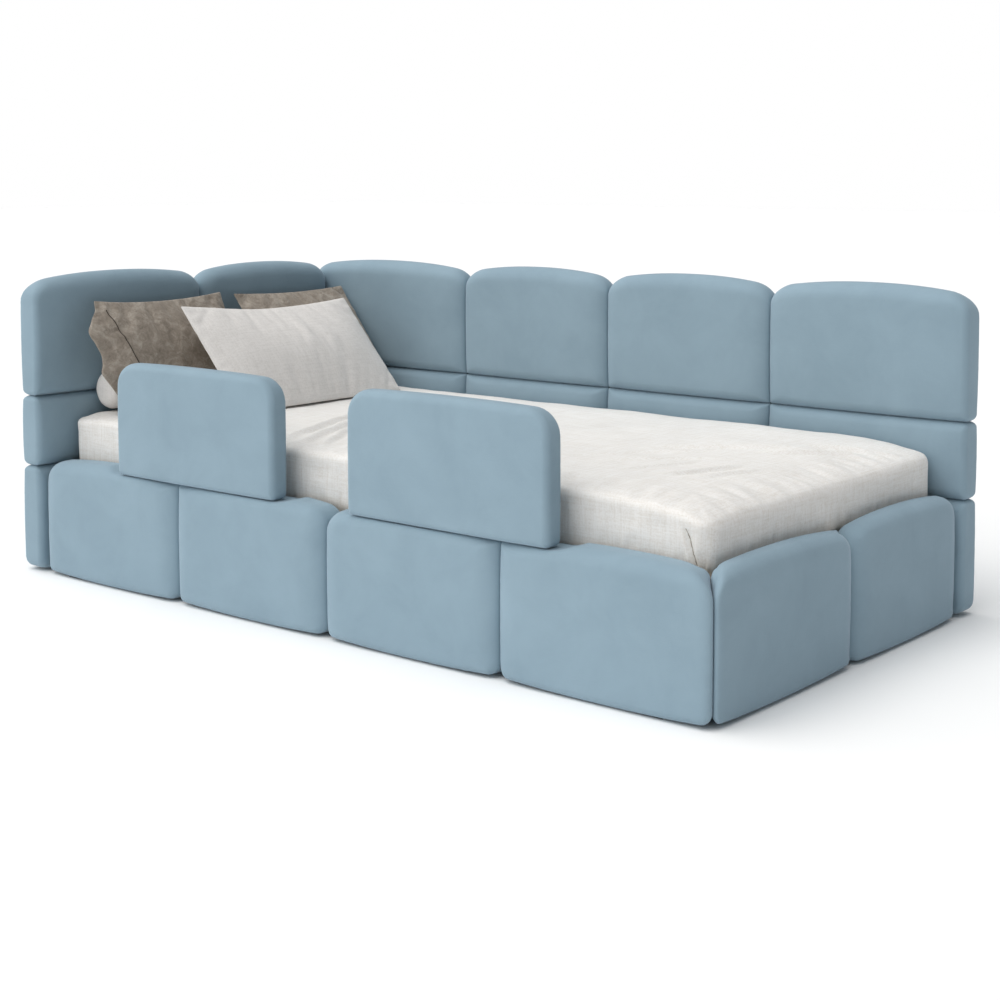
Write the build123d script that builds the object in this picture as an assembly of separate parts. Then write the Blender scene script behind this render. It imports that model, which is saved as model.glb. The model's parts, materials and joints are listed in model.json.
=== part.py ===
from build123d import *
import os

# Upholstered toddler bed with a corner-shaped high back, two lift-off guard rails, a mattress and pillows.
# Working coordinates, in millimetres: X = 0 on the head panel's outer face and runs to the foot,
# Y = 0 on the front face and runs to the back, Z = 0 on the floor.
# centred() moves every finished piece so that the origin is the middle of the footprint, on the floor.

# Overall size and panels
LENGTH = 1770
HEAD_THICK = 76
BACK_THICK = 76
FRONT_THICK = 72
FOOT_THICK = 56
BACK_FACE = 877                          # Y of the back panel's inner face
WIDTH = BACK_FACE + BACK_THICK
FOOT_FACE = LENGTH - FOOT_THICK          # X of the foot panel's inner face

# Upholstery blocks
COLUMN_SEAMS = [502, 917, 1330]          # X of the seams along the front and the back
CROSS_SEAM = 464                         # Y of the seam across the head and the foot
PAD_BOTTOM = 1
LOW_SEAM = 229
MID_SEAM = 380
HIGH_TOP = 641
FRONT_TOP = 252
PAD_ROUND = 20
HIGH_RISE = 20                           # how far a top block's crest stands above its ends
FRONT_RISE = 13

# Core boards
CORE_THICK = 18
CORE_BOTTOM = 20
CORE_INSET = 14                          # from a free end of a panel
HIGH_CORE_TOP = 585
LOW_CORE_TOP = 214
HEAD_CORE_X = 29
BACK_CORE_Y = BACK_FACE + 29
FRONT_CORE_Y = 16
FOOT_CORE_X = FOOT_FACE + 20
GROOVE_WIDTH = 18                        # the groove in a low board's outer face, behind each seam
GROOVE_DEPTH = 11
GLIDE_LENGTH = 40
GLIDE_THICK = 16
GLIDE_INSET = 70                         # from a board's end to its first glide

# Guard rails
GUARD_STARTS = {"a": 328, "b": 982}      # X of each rail's head-side end
GUARD_LENGTH = 462
GUARD_FRONT = 0
GUARD_THICK = 50
GUARD_BOTTOM = 241
GUARD_TOP = 475
GUARD_TOP_CORNER = 48
GUARD_LOW_CORNER = 16
GUARD_ROUND = 14
GUARD_SEAT_GAP = 1.5                     # room between a guard rail and the blocks that it presses into
BOARD_THICK = 12
BOARD_INSET = 30
TONGUE_WIDTH = 30
TONGUE_THICK = 4
TONGUE_BOTTOM = 130
TONGUE_TOP = 336
TONGUE_INSET = 90                        # from a guard rail's end to the middle of its tongue
TONGUE_GAP = 0.4
SOCKET_WIDTH = 38
SOCKET_BOTTOM = 118
GUARD_MIDDLE = GUARD_FRONT + GUARD_THICK / 2
CHANNEL_GAP = 3                          # room round a tongue where it passes through the foam

# Mattress
MATTRESS_BOTTOM = 218.6
MATTRESS_TOP = 341
MATTRESS_ENDS = (84, 1711)
MATTRESS_SIDES = (77, 872)
MATTRESS_ROUND = 24
SHEET_THICK = 2

# Slatted base
RAIL_BOTTOM = 160
RAIL_TOP = 200
LEDGER_THICK = 30
LEDGER_ENDS = (150, 1640)
CENTRE_RAIL_WIDTH = 30
LEG_SIZE = 40
LEG_XS = [LENGTH / 2 - 440, LENGTH / 2, LENGTH / 2 + 440]
SLAT_COUNT = 10
SLAT_WIDTH = 90
SLAT_TOP = 218
SLAT_FIRST = 92
SLAT_LAST = 1704
SLAT_GAP = 2                             # between a slat's end and the panels
SCREW_RADIUS = 3
SCREW_COUNT = 5
SCREW_Z = 180

# Corner brackets and bolts
BRACKET_LEG = 60
BRACKET_THICK = 3
BRACKET_Z = (105, 150)
BOLT_Z = 128
BOLT_OUT = 42                            # from the inner corner to the bolt's axis
BOLT_RADIUS = 4
BOLT_HEAD_RADIUS = 7.5
BOLT_HEAD_HIGH = 5
CORE_BITE = 14                           # how deep a fastener goes into a core board

# Pillows: height, thickness, lean from upright in degrees, bottom axis X, and side-to-side span in Y
PILLOW_FLOOR = 342
BROWN_LEFT = {"high": 262, "thick": 72, "lean": 24, "x": 211}
BROWN_RIGHT = {"high": 291, "thick": 58, "lean": 38, "x": 278}
WHITE = {"high": 286, "thick": 76, "lean": 41.5, "x": 382}
BROWN_LEFT_SPAN = (100, 473)
BROWN_RIGHT_SPAN = (510, 871)
WHITE_SPAN = (272, 778)
BOLSTER_RADIUS = 43
BOLSTER_AXIS = (119.5, 385.5)            # X and Z
BOLSTER_SPAN = (138, 480)
BOLSTER_END_ROUND = 16

pieces = {}


def block(x_span, y_span, z_span):
    """A plain box between two corners."""
    low = (min(x_span), min(y_span), min(z_span))
    size = [max(span) - min(span) for span in (x_span, y_span, z_span)]
    return Pos(*low) * Box(*size, align=(Align.MIN, Align.MIN, Align.MIN))


def arched_slab(along, span, depth_span, z_span, rise):
    """A slab standing along X or Y, whose top edge is an arc that rises in the middle."""
    start, end = span
    bottom, top = z_span
    shoulder = top - rise
    outline = (
        Line((start, bottom), (end, bottom))
        + Line((end, bottom), (end, shoulder))
        + ThreePointArc((end, shoulder), ((start + end) / 2, top), (start, shoulder))
        + Line((start, shoulder), (start, bottom))
    )
    near, far = depth_span
    if along == "x":
        face = Pos(0, near, 0) * (Plane.XZ * make_face(outline))
        return extrude(face, amount=far - near, dir=(0, 1, 0))
    face = Pos(near, 0, 0) * (Plane.YZ * make_face(outline))
    return extrude(face, amount=far - near, dir=(1, 0, 0))


def prism(corners):
    """An upright prism, taller than the bed, over a polygon in plan."""
    return extrude(make_face(Polyline(*corners, close=True)), amount=HIGH_TOP)


def pad(along, span, depth_span, z_span, rise=0):
    """One upholstered block, with all its edges rounded over."""
    if rise:
        body = arched_slab(along, span, depth_span, z_span, rise)
    elif along == "x":
        body = block(span, depth_span, z_span)
    else:
        body = block(depth_span, span, z_span)
    return fillet(body.edges(), PAD_ROUND)


def bolt(point, direction, length, radius, head_radius=0, head_high=0):
    """A fastener from a point on a face, going in along a horizontal direction, with its head outside."""
    into = Plane(origin=point, z_dir=direction)
    shaft = into * Cylinder(radius, length, align=(Align.CENTER, Align.CENTER, Align.MIN))
    if not head_radius:
        return shaft
    head = into * Cylinder(head_radius, head_high, align=(Align.CENTER, Align.CENTER, Align.MAX))
    return shaft + head


def seam_spans(start, seams, end):
    """Consecutive spans between the seams."""
    edges = [start] + seams + [end]
    return list(zip(edges[:-1], edges[1:]))


def make_fasteners():
    """Corner brackets with their bolts, and the screws of the ledgers, grouped by the panel they enter."""
    by_panel = {"head": [], "back": [], "front": [], "foot": []}
    cover = {
        "head": HEAD_THICK - HEAD_CORE_X - CORE_THICK,
        "back": BACK_CORE_Y - BACK_FACE,
        "front": FRONT_THICK - FRONT_CORE_Y - CORE_THICK,
        "foot": FOOT_CORE_X - FOOT_FACE,
    }
    brackets = []
    bolts = []
    screws = []
    for end_panel, corner_x, step_x in (("head", HEAD_THICK, 1), ("foot", FOOT_FACE, -1)):
        for side_panel, corner_y, step_y in (("front", FRONT_THICK, 1), ("back", BACK_FACE, -1)):
            side_leg = block(
                (corner_x, corner_x + step_x * BRACKET_LEG), (corner_y, corner_y + step_y * BRACKET_THICK), BRACKET_Z
            )
            end_leg = block(
                (corner_x, corner_x + step_x * BRACKET_THICK), (corner_y, corner_y + step_y * BRACKET_LEG), BRACKET_Z
            )
            side_bolt = bolt(
                (corner_x + step_x * BOLT_OUT, corner_y + step_y * BRACKET_THICK, BOLT_Z),
                (0, -step_y, 0),
                BRACKET_THICK + cover[side_panel] + CORE_BITE,
                BOLT_RADIUS,
                BOLT_HEAD_RADIUS,
                BOLT_HEAD_HIGH,
            )
            end_bolt = bolt(
                (corner_x + step_x * BRACKET_THICK, corner_y + step_y * BOLT_OUT, BOLT_Z),
                (-step_x, 0, 0),
                BRACKET_THICK + cover[end_panel] + CORE_BITE,
                BOLT_RADIUS,
                BOLT_HEAD_RADIUS,
                BOLT_HEAD_HIGH,
            )
            brackets.append(side_leg + end_leg - side_bolt - end_bolt)
            bolts.extend([side_bolt, end_bolt])
            by_panel[side_panel].append(side_bolt)
            by_panel[end_panel].append(end_bolt)
    first, last = LEDGER_ENDS
    pitch = (last - first) / SCREW_COUNT
    for index in range(SCREW_COUNT):
        x = first + pitch * (index + 0.5)
        for panel, face_y, step_y in (("front", FRONT_THICK, 1), ("back", BACK_FACE, -1)):
            start = (x, face_y + step_y * LEDGER_THICK, SCREW_Z)
            screw = bolt(start, (0, -step_y, 0), LEDGER_THICK + cover[panel] + CORE_BITE, SCREW_RADIUS)
            screws.append(screw)
            by_panel[panel].append(screw)
    pieces["corner_brackets"] = brackets
    pieces["bracket_bolts"] = bolts
    pieces["ledger_screws"] = screws
    return by_panel


def make_tongues(start, gap=0.0, bottom=TONGUE_BOTTOM, top=TONGUE_TOP):
    """The two flat steel tongues of the guard rail that starts at this X, or the same grown by a gap."""
    tongues = []
    for middle in (start + TONGUE_INSET, start + GUARD_LENGTH - TONGUE_INSET):
        x_span = (middle - TONGUE_WIDTH / 2 - gap, middle + TONGUE_WIDTH / 2 + gap)
        y_span = (GUARD_MIDDLE - TONGUE_THICK / 2 - gap, GUARD_MIDDLE + TONGUE_THICK / 2 + gap)
        tongues.append(block(x_span, y_span, (bottom, top)))
    return tongues


def make_guard(letter, start):
    """A padded guard rail: a rounded slab round a plywood board, with two steel tongues below."""
    end = start + GUARD_LENGTH
    outline = RectangleRounded(GUARD_LENGTH, GUARD_TOP - GUARD_BOTTOM, GUARD_LOW_CORNER)
    centre = Pos((start + end) / 2, GUARD_FRONT, (GUARD_BOTTOM + GUARD_TOP) / 2)
    slab = extrude(centre * (Plane.XZ * outline), amount=GUARD_THICK, dir=(0, 1, 0))
    upper = RectangleRounded(GUARD_LENGTH, GUARD_TOP - GUARD_BOTTOM + GUARD_TOP_CORNER, GUARD_TOP_CORNER)
    lowered = centre * Pos(0, 0, -GUARD_TOP_CORNER / 2)
    slab = slab & extrude(lowered * (Plane.XZ * upper), amount=GUARD_THICK, dir=(0, 1, 0))
    rims = slab.edges().filter_by(lambda edge: abs(edge.tangent_at(0.5).Y) < 0.5)
    slab = fillet(rims, GUARD_ROUND)
    board_y = (GUARD_MIDDLE - BOARD_THICK / 2, GUARD_MIDDLE + BOARD_THICK / 2)
    board_z = (GUARD_BOTTOM + BOARD_INSET / 2, GUARD_TOP - BOARD_INSET)
    board = block((start + BOARD_INSET, end - BOARD_INSET), board_y, board_z)
    tongues = make_tongues(start)
    pieces["guard_" + letter + "_pad"] = slab - board - tongues
    pieces["guard_" + letter + "_board"] = board - tongues
    pieces["guard_" + letter + "_tongues"] = tongues


def seam_grooves():
    """The grooves in the front and foot boards that the blocks' covers are pulled into at the seams."""
    reach = GROOVE_WIDTH / 2
    upright = (CORE_BOTTOM, LOW_CORE_TOP)
    front_y = (FRONT_CORE_Y, FRONT_CORE_Y + GROOVE_DEPTH)
    foot_x = (FOOT_CORE_X + CORE_THICK - GROOVE_DEPTH, FOOT_CORE_X + CORE_THICK)
    front = [block((seam - reach, seam + reach), front_y, upright) for seam in [HEAD_THICK] + COLUMN_SEAMS]
    foot = [block(foot_x, (seam - reach, seam + reach), upright) for seam in (CROSS_SEAM, BACK_FACE)]
    return {"front": front, "foot": foot}


def make_cores(fasteners):
    """The four plywood boards that the blocks are upholstered round."""
    end_to_end = LENGTH - CORE_INSET
    head = block((HEAD_CORE_X, HEAD_CORE_X + CORE_THICK), (CORE_INSET, BACK_FACE), (CORE_BOTTOM, HIGH_CORE_TOP))
    back = block((CORE_INSET, end_to_end), (BACK_CORE_Y, BACK_CORE_Y + CORE_THICK), (CORE_BOTTOM, HIGH_CORE_TOP))
    front = block((HEAD_THICK, FOOT_CORE_X), (FRONT_CORE_Y, FRONT_CORE_Y + CORE_THICK), (CORE_BOTTOM, LOW_CORE_TOP))
    foot_start = FRONT_CORE_Y + CORE_THICK + CORE_BOTTOM
    foot = block((FOOT_CORE_X, FOOT_CORE_X + CORE_THICK), (foot_start, BACK_FACE), (CORE_BOTTOM, LOW_CORE_TOP))
    boards = {"head": head, "back": back, "front": front, "foot": foot}
    sockets = []
    for start in GUARD_STARTS.values():
        channels = make_tongues(start, TONGUE_GAP)
        for channel in channels:
            middle = channel.center().X
            x_span = (middle - SOCKET_WIDTH / 2, middle + SOCKET_WIDTH / 2)
            y_span = (FRONT_CORE_Y, FRONT_CORE_Y + CORE_THICK)
            sleeve = block(x_span, y_span, (SOCKET_BOTTOM, LOW_CORE_TOP))
            boards["front"] = boards["front"] - sleeve
            sockets.append(sleeve - channel)
    pieces["guard_sockets"] = sockets
    for name, grooves in seam_grooves().items():
        boards[name] = boards[name] - grooves
    for name, board in boards.items():
        pieces[name + "_core"] = board - fasteners[name]
    return {"head": head, "back": back, "front": front, "foot": foot}


def pocket(board):
    """The room for a core board, open down to the floor."""
    box = board.bounding_box()
    return block((box.min.X, box.max.X), (box.min.Y, box.max.Y), (-1, box.max.Z))


def make_high_panels(boards, fasteners):
    """The head and back panels: three rows of blocks, the top row arched."""
    rows = [("low", PAD_BOTTOM, LOW_SEAM, 0), ("mid", LOW_SEAM, MID_SEAM, 0), ("top", MID_SEAM, HIGH_TOP, HIGH_RISE)]
    layouts = {
        "head": ("y", seam_spans(0, [CROSS_SEAM], BACK_FACE), (0, HEAD_THICK)),
        "back": ("x", seam_spans(0, COLUMN_SEAMS, LENGTH), (BACK_FACE, WIDTH)),
    }
    for panel, (along, spans, depth_span) in layouts.items():
        room = pocket(boards[panel])
        for row, bottom, top, rise in rows:
            for column, span in enumerate(spans, start=1):
                body = pad(along, span, depth_span, (bottom, top), rise) - room
                if row == "low":
                    body = body - fasteners[panel]
                pieces[panel + "_" + row + "_pad_" + str(column)] = body


def make_low_panels(boards, fasteners):
    """The front and foot panels: one row of arched blocks, mitred where the two panels meet."""
    corner = (LENGTH, 0)
    inner = (FOOT_FACE, FRONT_THICK)
    mitre_front = prism([corner, (LENGTH, FRONT_THICK), inner])
    mitre_foot = prism([corner, inner, (FOOT_FACE, 0)])
    seats = []
    for start in GUARD_STARTS.values():
        x_span = (start - GUARD_SEAT_GAP, start + GUARD_LENGTH + GUARD_SEAT_GAP)
        seats.append(block(x_span, (-1, FRONT_THICK + 1), (GUARD_BOTTOM - GUARD_SEAT_GAP, HIGH_TOP)))
        seats.extend(make_tongues(start, CHANNEL_GAP, LOW_CORE_TOP))
    front_spans = seam_spans(HEAD_THICK, COLUMN_SEAMS, LENGTH)
    for column, span in enumerate(front_spans, start=1):
        body = pad("x", span, (0, FRONT_THICK), (PAD_BOTTOM, FRONT_TOP), FRONT_RISE)
        if span[1] == LENGTH:
            body = body - mitre_front
        pieces["front_pad_" + str(column)] = body - pocket(boards["front"]) - seats - fasteners["front"]
    foot_spans = seam_spans(0, [CROSS_SEAM], BACK_FACE)
    for column, span in enumerate(foot_spans, start=1):
        body = pad("y", span, (FOOT_FACE, LENGTH), (PAD_BOTTOM, FRONT_TOP), FRONT_RISE)
        if span[0] == 0:
            body = body - mitre_foot
        pieces["foot_pad_" + str(column)] = body - pocket(boards["foot"]) - fasteners["foot"]


def make_glides(boards):
    """Plastic glides under each core board, near its ends and between them."""
    glides = []
    for board in boards.values():
        box = board.bounding_box()
        x_long = box.size.X > box.size.Y
        low, high = (box.min.X, box.max.X) if x_long else (box.min.Y, box.max.Y)
        middle = box.center().Y if x_long else box.center().X
        across = (middle - GLIDE_THICK / 2, middle + GLIDE_THICK / 2)
        run = high - low - 2 * GLIDE_INSET - GLIDE_LENGTH
        for step in range(4):
            start = low + GLIDE_INSET + run * step / 3
            along = (start, start + GLIDE_LENGTH)
            spans = (along, across) if x_long else (across, along)
            glides.append(block(*spans, (0, CORE_BOTTOM)))
    pieces["glides"] = glides


def make_base(fasteners):
    """Ledgers, centre rail with legs, and the slats across them."""
    for panel, y_span in (
        ("front", (FRONT_THICK, FRONT_THICK + LEDGER_THICK)),
        ("back", (BACK_FACE - LEDGER_THICK, BACK_FACE)),
    ):
        pieces["ledger_" + panel] = block(LEDGER_ENDS, y_span, (RAIL_BOTTOM, RAIL_TOP)) - fasteners[panel]
    middle = WIDTH / 2
    rail_y = (middle - CENTRE_RAIL_WIDTH / 2, middle + CENTRE_RAIL_WIDTH / 2)
    pieces["centre_rail"] = block((HEAD_THICK, FOOT_FACE), rail_y, (RAIL_BOTTOM, RAIL_TOP))
    leg_y = (middle - LEG_SIZE / 2, middle + LEG_SIZE / 2)
    pieces["centre_legs"] = [block((x - LEG_SIZE / 2, x + LEG_SIZE / 2), leg_y, (0, RAIL_BOTTOM)) for x in LEG_XS]
    pitch = (SLAT_LAST - SLAT_FIRST - SLAT_WIDTH) / (SLAT_COUNT - 1)
    slat_y = (FRONT_THICK + SLAT_GAP, BACK_FACE - SLAT_GAP)
    for index in range(SLAT_COUNT):
        start = SLAT_FIRST + pitch * index
        pieces["slat_%02d" % (index + 1)] = block((start, start + SLAT_WIDTH), slat_y, (RAIL_TOP, SLAT_TOP))


def make_mattress():
    """A foam core with rounded edges, and a fitted sheet over its top and sides."""
    core_x = (MATTRESS_ENDS[0] + SHEET_THICK, MATTRESS_ENDS[1] - SHEET_THICK)
    core_y = (MATTRESS_SIDES[0] + SHEET_THICK, MATTRESS_SIDES[1] - SHEET_THICK)
    core = block(core_x, core_y, (MATTRESS_BOTTOM, MATTRESS_TOP - SHEET_THICK))
    outer = block(MATTRESS_ENDS, MATTRESS_SIDES, (MATTRESS_BOTTOM, MATTRESS_TOP))
    bottom_z = MATTRESS_BOTTOM + 1
    core = fillet(core.edges().filter_by(lambda edge: edge.center().Z > bottom_z), MATTRESS_ROUND - SHEET_THICK)
    outer = fillet(outer.edges().filter_by(lambda edge: edge.center().Z > bottom_z), MATTRESS_ROUND)
    pieces["mattress_core"] = core
    pieces["fitted_sheet"] = outer - core


def leaning_pillow(shape, span):
    """A pillow as a fat rounded slab, standing on the mattress and leaning towards the head."""
    radius = shape["thick"] / 2
    flat = shape["high"] - shape["thick"]
    section = SlotOverall(shape["high"], shape["thick"])
    middle = Pos(shape["x"], span[0], PILLOW_FLOOR + radius) * Rot(0, -shape["lean"], 0) * Pos(0, 0, flat / 2)
    upright = Plane(origin=(0, 0, 0), x_dir=(0, 0, 1), z_dir=(0, 1, 0))
    body = extrude(middle * (upright * section), amount=span[1] - span[0], dir=(0, 1, 0))
    ends = body.edges().filter_by(lambda edge: abs(edge.center().Y - span[0]) < 1 or abs(edge.center().Y - span[1]) < 1)
    return fillet(ends, radius * 0.6)


def y_cylinder(axis, radius, span):
    """A cylinder along Y, given by the X and Z of its axis."""
    start = Plane(origin=(axis[0], span[0], axis[1]), z_dir=(0, 1, 0))
    return start * Cylinder(radius, span[1] - span[0], align=(Align.CENTER, Align.CENTER, Align.MIN))


def make_pillows():
    """Two brown pillows against the head, a white one before them, and a white bolster behind."""
    pieces["brown_pillow_left"] = leaning_pillow(BROWN_LEFT, BROWN_LEFT_SPAN)
    pieces["brown_pillow_right"] = leaning_pillow(BROWN_RIGHT, BROWN_RIGHT_SPAN)
    pieces["white_pillow"] = leaning_pillow(WHITE, WHITE_SPAN)
    roll = y_cylinder(BOLSTER_AXIS, BOLSTER_RADIUS, BOLSTER_SPAN)
    pieces["white_bolster"] = fillet(roll.edges().filter_by(GeomType.CIRCLE), BOLSTER_END_ROUND)


def centred(shape):
    """Move a finished piece so that the origin is the middle of the footprint, on the floor."""
    return Pos(-LENGTH / 2, -WIDTH / 2, 0) * shape


def write_parts():
    os.makedirs("parts", exist_ok=True)
    for name, shape in pieces.items():
        if isinstance(shape, list):
            solids = [solid for item in shape for solid in item.solids()]
            shape = Compound(children=solids)
        export_step(centred(shape), "parts/" + name + ".step")


panel_fasteners = make_fasteners()
core_boards = make_cores(panel_fasteners)
make_high_panels(core_boards, panel_fasteners)
make_low_panels(core_boards, panel_fasteners)
make_glides(core_boards)
make_base(panel_fasteners)
for guard_letter, guard_start in GUARD_STARTS.items():
    make_guard(guard_letter, guard_start)
make_mattress()
make_pillows()
write_parts()
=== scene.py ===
"""Upholstered toddler bed in dusty blue velour, with its guard rails, mattress, sheet and pillows."""
import json
import math

import bmesh
import bpy
import numpy as np
from mathutils import Matrix, Vector, noise
from mathutils.bvhtree import BVHTree


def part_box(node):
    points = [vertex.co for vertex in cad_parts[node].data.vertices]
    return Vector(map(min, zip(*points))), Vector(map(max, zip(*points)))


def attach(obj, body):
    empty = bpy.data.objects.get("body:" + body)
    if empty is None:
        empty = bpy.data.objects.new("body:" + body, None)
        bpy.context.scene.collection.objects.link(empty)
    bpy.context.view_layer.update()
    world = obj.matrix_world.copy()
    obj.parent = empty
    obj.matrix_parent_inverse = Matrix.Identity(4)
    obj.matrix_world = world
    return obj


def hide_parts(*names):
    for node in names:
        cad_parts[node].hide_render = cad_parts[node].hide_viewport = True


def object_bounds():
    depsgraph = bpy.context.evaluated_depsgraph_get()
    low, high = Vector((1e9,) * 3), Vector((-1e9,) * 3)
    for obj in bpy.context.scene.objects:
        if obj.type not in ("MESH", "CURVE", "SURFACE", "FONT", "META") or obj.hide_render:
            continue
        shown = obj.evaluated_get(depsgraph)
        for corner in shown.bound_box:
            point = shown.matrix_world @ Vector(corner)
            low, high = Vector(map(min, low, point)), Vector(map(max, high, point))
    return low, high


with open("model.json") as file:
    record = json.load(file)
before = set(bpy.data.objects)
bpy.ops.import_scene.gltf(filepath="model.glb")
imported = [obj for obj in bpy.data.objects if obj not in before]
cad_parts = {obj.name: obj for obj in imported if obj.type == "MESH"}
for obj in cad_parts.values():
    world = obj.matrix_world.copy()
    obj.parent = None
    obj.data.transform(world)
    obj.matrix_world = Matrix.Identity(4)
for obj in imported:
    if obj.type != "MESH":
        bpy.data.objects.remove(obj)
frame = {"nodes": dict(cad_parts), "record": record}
cad_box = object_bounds()

# ---------------- camera, light and floor

CAMERA_PLACE = (2.2817, -2.6878, 0.8659)
CAMERA_YAW = math.radians(39.204)
CAMERA_PITCH = math.radians(4.333)
CAMERA_LENS = 62.43
CAMERA_SHIFT = (-0.0076, -0.2)
CAMERA_SENSOR = 36.0

# Each light: its name, the direction it shines in, its power, its width in degrees and its colour
LIGHTS = [
    ("key", (0.86, 0.90, -0.82), 2.15, 105, (1.0, 0.985, 0.96)),
    ("top", (0.12, 0.20, -1.0), 1.45, 70, (1.0, 1.0, 1.0)),
]
SKY_COLOUR = (0.95, 0.98, 1.0, 1.0)
SKY_STRENGTH = 0.28
WHITE = (1.0, 1.0, 1.0, 1.0)
FLOOR_REACH = 30.0


def add_camera():
    """The view from in front of the foot end, a little above the bed."""
    data = bpy.data.cameras.new("camera")
    data.lens = CAMERA_LENS
    data.sensor_width = CAMERA_SENSOR
    data.shift_x, data.shift_y = CAMERA_SHIFT
    data.dof.use_dof = False
    camera = bpy.data.objects.new("camera", data)
    camera.location = CAMERA_PLACE
    camera.rotation_euler = (math.pi / 2 - CAMERA_PITCH, 0.0, CAMERA_YAW)
    bpy.context.collection.objects.link(camera)
    bpy.context.scene.camera = camera


def add_sun(name, towards, power, angle, colour):
    """A soft, far light that shines along a direction."""
    data = bpy.data.lights.new(name, "SUN")
    data.energy = power
    data.angle = math.radians(angle)
    data.color = colour
    lamp = bpy.data.objects.new(name, data)
    lamp.rotation_euler = Vector(towards).to_track_quat("-Z", "Y").to_euler()
    bpy.context.collection.objects.link(lamp)


def add_studio():
    """Very soft light from the front left and above, in front of a plain white sky."""
    for lamp in LIGHTS:
        add_sun(*lamp)
    world = bpy.data.worlds.new("studio")
    world.use_nodes = True
    nodes = world.node_tree.nodes
    links = world.node_tree.links
    light = nodes["Background"]
    light.inputs["Color"].default_value = SKY_COLOUR
    light.inputs["Strength"].default_value = SKY_STRENGTH
    white = nodes.new("ShaderNodeBackground")
    white.inputs["Color"].default_value = WHITE
    seen = nodes.new("ShaderNodeLightPath")
    either = nodes.new("ShaderNodeMixShader")
    links.new(seen.outputs["Is Camera Ray"], either.inputs["Fac"])
    links.new(light.outputs["Background"], either.inputs[1])
    links.new(white.outputs["Background"], either.inputs[2])
    links.new(either.outputs["Shader"], nodes["World Output"].inputs["Surface"])
    bpy.context.scene.world = world
    bpy.context.scene.view_settings.view_transform = "Standard"


# ---------------- node helpers

def new_material(name):
    material = bpy.data.materials.new(name)
    material.use_nodes = True
    tree = material.node_tree
    return material, tree, tree.nodes["Principled BSDF"]


def set_inputs(shader, values):
    for name, value in values.items():
        shader.inputs[name].default_value = value


def object_coordinates(tree, scale=(1.0, 1.0, 1.0)):
    """Object coordinates, in metres, stretched by scale."""
    source = tree.nodes.new("ShaderNodeTexCoord")
    mapping = tree.nodes.new("ShaderNodeMapping")
    mapping.inputs["Scale"].default_value = scale
    tree.links.new(source.outputs["Object"], mapping.inputs["Vector"])
    return mapping.outputs["Vector"]


def noise_value(tree, scale, detail=2.0, roughness=0.5, distortion=0.0, stretch=(1.0, 1.0, 1.0)):
    texture = tree.nodes.new("ShaderNodeTexNoise")
    texture.inputs["Scale"].default_value = scale
    texture.inputs["Detail"].default_value = detail
    texture.inputs["Roughness"].default_value = roughness
    texture.inputs["Distortion"].default_value = distortion
    tree.links.new(object_coordinates(tree, stretch), texture.inputs["Vector"])
    return texture.outputs["Fac"]


def ramp(tree, value, stops):
    """A colour ramp: stops are (position, grey or colour)."""
    node = tree.nodes.new("ShaderNodeValToRGB")
    elements = node.color_ramp.elements
    while len(elements) < len(stops):
        elements.new(0.5)
    for element, (position, shade) in zip(elements, stops):
        element.position = position
        element.color = (*shade, 1.0) if isinstance(shade, tuple) else (shade, shade, shade, 1.0)
    tree.links.new(value, node.inputs["Fac"])
    return node.outputs["Color"]


def mix(tree, kind, factor, first, second):
    """Two colours mixed; factor is a number or a socket."""
    node = tree.nodes.new("ShaderNodeMix")
    node.data_type = "RGBA"
    node.blend_type = kind
    if isinstance(factor, float):
        node.inputs["Factor"].default_value = factor
    else:
        tree.links.new(factor, node.inputs["Factor"])
    tree.links.new(first, node.inputs[6])
    tree.links.new(second, node.inputs[7])
    return node.outputs[2]


def add_bump(tree, shader, layers):
    """Bumps stacked in order: each layer is (value socket, strength, height in metres)."""
    normal = None
    for value, strength, distance in layers:
        bump = tree.nodes.new("ShaderNodeBump")
        bump.inputs["Strength"].default_value = strength
        bump.inputs["Distance"].default_value = distance
        tree.links.new(value, bump.inputs["Height"])
        if normal is not None:
            tree.links.new(normal, bump.inputs["Normal"])
        normal = bump.outputs["Normal"]
    tree.links.new(normal, shader.inputs["Normal"])


# ---------------- materials

def velour_material():
    """Short-pile dusty blue velour: soft nap clouds, a faint weave, and a pale sheen at grazing angles."""
    material, tree, shader = new_material("velour_blue")
    clouds = noise_value(tree, 9.0, detail=4.0, roughness=0.6, distortion=0.4)
    nap = ramp(tree, clouds, [(0.3, (0.246, 0.341, 0.408)), (0.7, (0.276, 0.378, 0.449))])
    warp = noise_value(tree, 420.0, detail=1.0, stretch=(1.0, 1.0, 0.12))
    weft = noise_value(tree, 420.0, detail=1.0, stretch=(0.12, 0.12, 1.0))
    weave = mix(tree, "ADD", 1.0, warp, weft)
    threads = ramp(tree, weave, [(0.35, 0.93), (0.75, 1.0)])
    colour = mix(tree, "MULTIPLY", 0.75, nap, threads)
    tree.links.new(colour, shader.inputs["Base Color"])
    sheen = {"Sheen Weight": 0.34, "Sheen Roughness": 0.38, "Sheen Tint": (0.80, 0.90, 1.0, 1.0)}
    set_inputs(shader, {"Roughness": 0.92, "Specular IOR Level": 0.18, **sheen})
    pile = noise_value(tree, 1500.0, roughness=0.6)
    add_bump(tree, shader, [(clouds, 0.15, 0.004), (weave, 0.25, 0.0004), (pile, 0.35, 0.0005)])
    return material


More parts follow.
